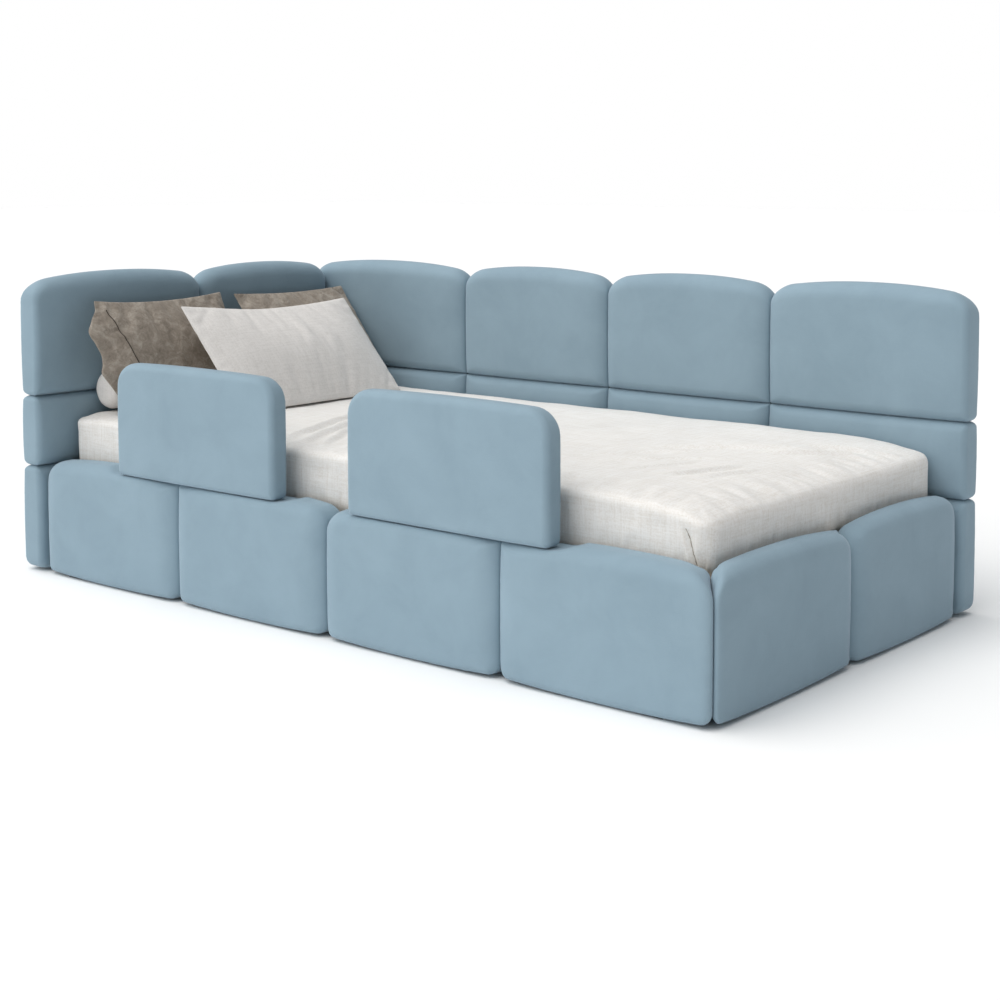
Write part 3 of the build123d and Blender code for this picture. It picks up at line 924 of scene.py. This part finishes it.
def sheet_ring(work, rim, centre, half_x, half_y, hem, depth):
    """One ring of the sheet's sides, at a depth from 0, its rim, to 1, its hem."""
    tuck = SHEET_TUCK * max(0.0, depth - TUCK_START) / (1 - TUCK_START)
    ring = []
    for vertex in rim:
        flat = vertex.co - centre
        out = outward_normal(flat.x, flat.y, half_x, half_y, SHEET_CORNER)
        offset = side_relief(vertex.co.x, vertex.co.y, depth) * min(1.0, SIDE_GROWTH * depth) - tuck
        offset *= smooth_step(math.hypot(half_x - flat.x, half_y - flat.y) / CALM_REACH)
        if flat.y < SHEET_CORNER - half_y:
            offset += corner_fold(half_x - flat.x, depth)
        z = vertex.co.z + (hem - vertex.co.z) * depth
        ring.append(work.verts.new(Vector((vertex.co.x, vertex.co.y, z)) + out * offset))
    return ring


def sheet_mesh(low, high):
    """One open skin: the top of the mattress, its rounded edge, and the sides down to a tucked hem."""
    half_x, half_y = (high[0] - low[0]) / 2, (high[1] - low[1]) / 2
    centre = Vector(((high[0] + low[0]) / 2, (high[1] + low[1]) / 2, 0.0))
    work = bmesh.new()
    rows = sheet_top(work, centre, half_x, half_y, high[2])
    fill_grid(work, rows)
    rim = border(rows)
    ring = rim
    for step in range(1, SHEET_RINGS + 1):
        below = sheet_ring(work, rim, centre, half_x, half_y, low[2], step / SHEET_RINGS)
        fill_ring(work, ring, below)
        ring = below
    return finish_mesh(work, "sheet")


def add_mattress():
    """The mattress under the sheet, with the same sunken edges."""
    low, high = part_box("mattress_core")
    sheet_low, sheet_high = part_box("fitted_sheet")
    half = [(b - a) / 2 for a, b in zip(low, high)]
    half = [half[0] - MATTRESS_GAP, half[2], half[1] - MATTRESS_GAP]
    centre = [(a + b) / 2 for a, b in zip(low, high)]
    length, width = sheet_high[0] - sheet_low[0], sheet_high[1] - sheet_low[1]

    def shape(co):
        point = Vector((centre[0] + co.x, centre[1] - co.z, centre[2] + co.y))
        weight = smooth_step((point.z - low[2]) / (high[2] - low[2]))
        fall = mattress_fall(point.x - sheet_low[0], point.y - sheet_low[1], length, width)
        point.z -= weight * (fall + MATTRESS_GAP)
        return point

    edges = (MATTRESS_ROUND, MATTRESS_ROUND, MATTRESS_ROUND)
    faces = [face_style(edges, (0.0, 0.0, 0.0), side_fall=MATTRESS_ROUND, wobble=0.0)] * 2
    corners = even_corners(SHEET_CORNER, SHEET_CORNER)
    ends, rise = (None, None), (0.0, 0.0)
    mesh = slab_mesh("mattress", half, faces, corners, ends, rise, MATTRESS_SEED, shape, MATTRESS_CELL)
    piece = add_piece("foam_mattress", mesh, FOAM, "mattress", ["mattress_core"])
    return piece


def add_sheet(mattress):
    low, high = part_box("fitted_sheet")
    mesh = sheet_mesh(low, high)
    piece = add_piece("fitted_linen_sheet", mesh, SHEET_LINEN, "mattress", ["fitted_sheet"])
    add_dart_seam(piece, low, high)


def add_dart_seam(sheet, low, high):
    """The stitching of the dart at the sheet's front foot corner, in a dark thread that is partly painted shade
    of the crease there.
    """
    first, last = DART_SPAN
    edge_height = high[2] - FOOT_ROLL[1]
    starts = []
    for step in range(THREAD_STEPS + 1):
        depth = first + (last - first) * step / THREAD_STEPS
        from_corner = DART_START + (DART_END - DART_START) * depth
        height = edge_height + (low[2] - edge_height) * depth
        starts.append(Vector((high[0] - from_corner, low[1] - RAY_START, height)))
    name = "fitted_sheet_corner_seam_painted_shade"
    add_thread(name, sheet, starts, DART_THREAD, LINEN_THREAD_PAINTED_SHADE, "mattress")


# ---------------- pillows

PILLOW_CELL = 0.0085
VELVET_SLACK = 0.016
LINEN_SLACK = 0.003
SIM_STEPS = 26
START_PUFF = 0.006  # how far the panels stand apart before the simulation
START_UNEVEN = 0.003
FULLNESS = 1.06  # a soft pillow bulges this much past the thickness of its CAD box
WHITE_CORNER_LIFT = 0.012

# Puckers beside a pillow's seam: their height, their middle's distance from the seam, their width and fade
SEAM_PUCKER = 0.0028
SEAM_PUCKER_MIDDLE = 0.018
SEAM_PUCKER_WIDTH = 0.020
SEAM_PUCKER_FADE = 0.010

# The left pillow's flap, as shares of the pillow's half width and half height, and its step in metres
FLAP_INSET = 0.010
FLAP_EDGE = -0.71
FLAP_SLANT = 0.16
FLAP_SPAN = (0.78, -0.92)
FLAP_STEP = 0.0050
FLAP_SOFTNESS = 0.05
FLAP_RIM = 0.12
FLAP_TOP = 0.97
FLAP_THREAD = 0.0011

# The left pillow's slack end: where it starts, its waves as (depth, place, width), and its unevenness
END_START = 0.62
END_WAVES = [(0.036, 0.40, 0.34), (0.030, -0.30, 0.32)]
END_UNEVEN = 0.008
END_TWIST = 0.006


def on_rim(u, v):
    return max(abs(u), abs(v)) == 1


def pillow_panels(width, height, seed):
    """Two flat panels sewn along their rims.

    Returns the work mesh, and each vertex's spot: its place on the panel, from -1 to 1 across and up, and
    the panel's side.
    """
    columns, rows = int(width / PILLOW_CELL), int(height / PILLOW_CELL)
    work = bmesh.new()
    spots = {}
    rim = {}
    for side in (-1, 1):
        grid = []
        for i in range(columns + 1):
            line = []
            for j in range(rows + 1):
                if (i, j) in rim:
                    line.append(rim[(i, j)])
                    continue
                u, v = 2 * i / columns - 1, 2 * j / rows - 1
                puff = START_PUFF * (1 - u ** 4) * (1 - v ** 4)
                lumps = START_UNEVEN * smooth_noise(u * 4, v * 4, seed + side)
                uneven = lumps * (1 - u ** 2) * (1 - v ** 2)
                vertex = work.verts.new((u * width / 2, side * (puff + uneven), v * height / 2))
                spots[vertex] = (u, v, side)
                if on_rim(u, v):
                    rim[(i, j)] = vertex
                line.append(vertex)
            grid.append(line)
        fill_grid(work, grid)
    bmesh.ops.recalc_face_normals(work, faces=work.faces)
    work.verts.index_update()
    return work, [spots[vertex] for vertex in work.verts]


def blow_up(mesh, rim, slack):
    """Runs a short cloth simulation with pressure inside and the seam held, and returns where it ends."""
    scene = bpy.context.scene
    holder = bpy.data.objects.new("pillow_sim", mesh)
    scene.collection.objects.link(holder)
    seam = holder.vertex_groups.new(name="seam")
    seam.add(rim, 1.0, "REPLACE")
    cloth = holder.modifiers.new("cloth", "CLOTH")
    settings = cloth.settings
    settings.quality = 6
    settings.mass = 0.25
    settings.tension_stiffness = 22
    settings.compression_stiffness = 14
    settings.shear_stiffness = 9
    settings.bending_stiffness = 0.6
    settings.vertex_group_mass = "seam"
    settings.shrink_min = -slack
    settings.use_pressure = True
    settings.uniform_pressure_force = 3.2
    settings.effector_weights.gravity = 0.0
    cloth.collision_settings.use_collision = False
    cloth.point_cache.frame_start = 1
    cloth.point_cache.frame_end = SIM_STEPS + 2
    for step in range(1, SIM_STEPS + 1):
        scene.frame_set(step)
    graph = bpy.context.evaluated_depsgraph_get()
    blown = holder.evaluated_get(graph).to_mesh()
    places = np.zeros(len(blown.vertices) * 3)
    blown.vertices.foreach_get("co", places)
    holder.modifiers.clear()
    bpy.data.objects.remove(holder)
    scene.frame_set(1)
    return places.reshape(-1, 3)


def pillow_mesh(name, size, sag, slack, seed, quirk=None):
    """A pillow of this (width, thickness, height). sag is how far the side, top and bottom seams pull in."""
    width, thickness, height = size
    work, spots = pillow_panels(width, height, seed)
    mesh = bpy.data.meshes.new(name)
    work.to_mesh(mesh)
    work.free()
    places = np.zeros(len(mesh.vertices) * 3)
    mesh.vertices.foreach_get("co", places)
    places = places.reshape(-1, 3)
    for place, (u, v, side) in zip(places, spots):
        place[0] *= 1 - sag[0] * (1 - v * v)
        place[2] *= 1 - (sag[1] if v > 0 else sag[2]) * (1 - u * u)
    mesh.vertices.foreach_set("co", places.ravel())
    rim = [k for k, (u, v, side) in enumerate(spots) if on_rim(u, v)]
    places = blow_up(mesh, rim, slack)
    places[:, 1] *= thickness / (places[:, 1].max() - places[:, 1].min())
    for place, (u, v, side) in zip(places, spots):
        across, up = (1 - abs(u)) * width / 2, (1 - abs(v)) * height / 2
        from_seam, run = (across, place[2]) if across < up else (up, place[0])
        pucker = math.exp(-((from_seam - SEAM_PUCKER_MIDDLE) / SEAM_PUCKER_WIDTH) ** 2)
        pucker *= min(1.0, from_seam / SEAM_PUCKER_FADE)
        place[1] += side * SEAM_PUCKER * pucker * smooth_noise(run * 85, from_seam * 22, seed + 2 * side)
        if quirk:
            quirk(place, u, v, side)
    mesh.vertices.foreach_set("co", places.ravel())
    mesh.update()
    for face in mesh.polygons:
        face.use_smooth = True
    return mesh


def flap_edge(v):
    """How far across the left pillow its flap reaches, at a height v."""
    return FLAP_EDGE - FLAP_SLANT * v


def turned_end(place, u, v, side):
    """The left pillow's slack end: a turned-over flap with a loose, wavy edge."""
    if side < 0 and abs(v) < FLAP_TOP:
        rim = min(1.0, (1 + u) / FLAP_RIM)
        place[1] += FLAP_STEP * smooth_step((flap_edge(v) - u) / FLAP_SOFTNESS) * rim
    end = smooth_step((-END_START - u) / (1 - END_START))
    bulge = sum(depth * math.exp(-((v - middle) / wide) ** 2) for depth, middle, wide in END_WAVES)
    bulge += END_UNEVEN * smooth_noise(v * 5.5, 3.0, 1.0)
    place[0] += end * (FLAP_INSET - bulge * (1 - abs(v) ** 6))
    place[1] += end * END_TWIST * smooth_noise(v * 3.0, 8.0, 1.0)


def lean_matrix(centre, lean):
    """Takes local pillow axes (x across, z up, -y front) to the bed's frame, leaning towards the head."""
    across = Vector((0, 1, 0))
    up = Vector((-math.sin(lean), 0, math.cos(lean)))
    back = Vector((-math.cos(lean), 0, -math.sin(lean)))
    matrix = Matrix((across, back, up)).transposed().to_4x4()
    matrix.translation = centre
    return matrix


def leaning_length(node, lean, thick):
    """The length of a leaning pillow, from the height of its box."""
    low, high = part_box(node)
    return (high[2] - low[2] - thick) / math.cos(lean) + thick


def add_pillow(name, node, lean, thick, sag, slack, material, slot, seed, settle=0.0, quirk=None):
    low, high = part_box(node)
    centre = Vector([(a + b) / 2 for a, b in zip(low, high)])
    size = (high[1] - low[1], thick * FULLNESS, leaning_length(node, lean, thick))
    mesh = pillow_mesh(name, size, sag, slack, seed, quirk)
    piece = bpy.data.objects.new(name, mesh)
    bpy.context.collection.objects.link(piece)
    mesh.materials.append(material)
    piece.matrix_world = lean_matrix(centre, lean)
    piece.location.z -= settle
    smooth = piece.modifiers.new("smooth", "SUBSURF")
    smooth.levels = 1
    smooth.render_levels = 1
    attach(piece, "pillows")
    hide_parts(node)
    return piece


def lifted_corner(place, u, v, side):
    """The white pillow's near upper corner, pulled up a little."""
    place[2] += WHITE_CORNER_LIFT * smooth_step(-u) * (1 + v) / 2


def add_flap_seam(pillow):
    """The stitched edge of the left pillow's flap, lying on the pillow's front, in a near-black thread that is
    partly painted shade along the flap's edge.
    """
    half_x = max(v.co.x for v in pillow.data.vertices)
    half_z = max(v.co.z for v in pillow.data.vertices)
    first, last = FLAP_SPAN
    starts = []
    for step in range(THREAD_STEPS + 1):
        v = first + (last - first) * step / THREAD_STEPS
        starts.append(Vector((flap_edge(v) * half_x, -RAY_START, v * half_z)))
    add_thread("brown_velvet_flap_seam_painted_shade", pillow, starts, FLAP_THREAD, BROWN_THREAD_PAINTED_SHADE, "pillows")


def add_pillows():
    """The three leaning pillows. sag is how far the side, top and bottom seams pull in."""
    velvet = {"slack": VELVET_SLACK, "material": TAUPE, "slot": "brown_velvet"}
    linen = {"slack": LINEN_SLACK, "material": PILLOW_LINEN, "slot": "white_linen"}
    left = add_pillow(
        "brown_velvet_pillow_left", "brown_pillow_left", lean=math.radians(24), thick=0.072,
        sag=(0.0, 0.09, 0.03), seed=1.0, quirk=turned_end, **velvet,
    )
    add_flap_seam(left)
    add_pillow(
        "brown_velvet_pillow_right", "brown_pillow_right", lean=math.radians(38), thick=0.058,
        sag=(0.01, 0.06, 0.02), seed=2.0, **velvet,
    )
    add_pillow(
        "white_linen_pillow", "white_pillow", lean=math.radians(41.5), thick=0.076,
        sag=(0.01, 0.10, 0.0), seed=3.0, settle=0.008, quirk=lifted_corner, **linen,
    )


BOLSTER_TURNS = 44
BOLSTER_RINGS = 64
BOLSTER_ROUND = 0.022
BOLSTER_SLACK = 0.03


def add_bolster():
    """A stuffed roll behind the pillows, with rounded, slightly puckered ends."""
    low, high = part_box("white_bolster")
    centre_x, centre_z = (low[0] + high[0]) / 2, (low[2] + high[2]) / 2
    radius = (high[0] - low[0]) / 2
    work = bmesh.new()
    loops = []
    for ring in range(1, BOLSTER_RINGS):
        y = low[1] + (high[1] - low[1]) * (1 - math.cos(math.pi * ring / BOLSTER_RINGS)) / 2
        near = min(1.0, min(y - low[1], high[1] - y) / BOLSTER_ROUND)
        cap = 1 - BOLSTER_ROUND / radius + BOLSTER_ROUND / radius * math.sqrt(1 - (1 - near) ** 2)
        loop = []
        for k in range(BOLSTER_TURNS):
            angle = 2 * math.pi * k / BOLSTER_TURNS
            slack = 1 - BOLSTER_SLACK * abs(smooth_noise(math.cos(angle) * 2, math.sin(angle) * 2, y * 22))
            x = centre_x + radius * cap * slack * math.cos(angle)
            z = centre_z + radius * cap * slack * math.sin(angle)
            loop.append(work.verts.new((x, y, z)))
        loops.append(loop)
    for first, second in zip(loops[:-1], loops[1:]):
        fill_ring(work, first, second)
    for loop, y in ((loops[0], low[1]), (loops[-1], high[1])):
        middle = work.verts.new((centre_x, y, centre_z))
        for k in range(BOLSTER_TURNS):
            work.faces.new((loop[k], loop[(k + 1) % BOLSTER_TURNS], middle))
    mesh = finish_mesh(work, "bolster")
    piece = add_piece("white_linen_bolster", mesh, PILLOW_LINEN, "pillows", ["white_bolster"])


# ---------------- carried-over CAD nodes

def dress_cad_nodes():
    """Gives the boards, slats, brackets and other hard nodes their materials."""
    dress = {"plywood": PLYWOOD_PAINTED_SHADE, "pine": PINE, "zinc_steel": STEEL, "black_plastic": PLASTIC, "foam": FOAM}
    slots = {entry["node"]: entry["material_slot"] for entry in frame["record"]["subparts"]}
    for node, piece in frame["nodes"].items():
        material = dress.get(slots[node])
        if material is None:
            continue
        for index in range(len(piece.data.materials)):
            piece.data.materials[index] = material


def add_floor():
    mesh = bpy.data.meshes.new("floor")
    far = FLOOR_REACH
    mesh.from_pydata([(-far, -far, 0), (far, -far, 0), (far, far, 0), (-far, far, 0)], [], [(0, 1, 2, 3)])
    floor = bpy.data.objects.new("floor", mesh)
    bpy.context.collection.objects.link(floor)
    mesh.materials.append(FLOOR)


add_camera()
add_studio()
add_floor()
add_blocks()
add_guards()
add_sheet(add_mattress())
add_pillows()
add_bolster()
dress_cad_nodes()
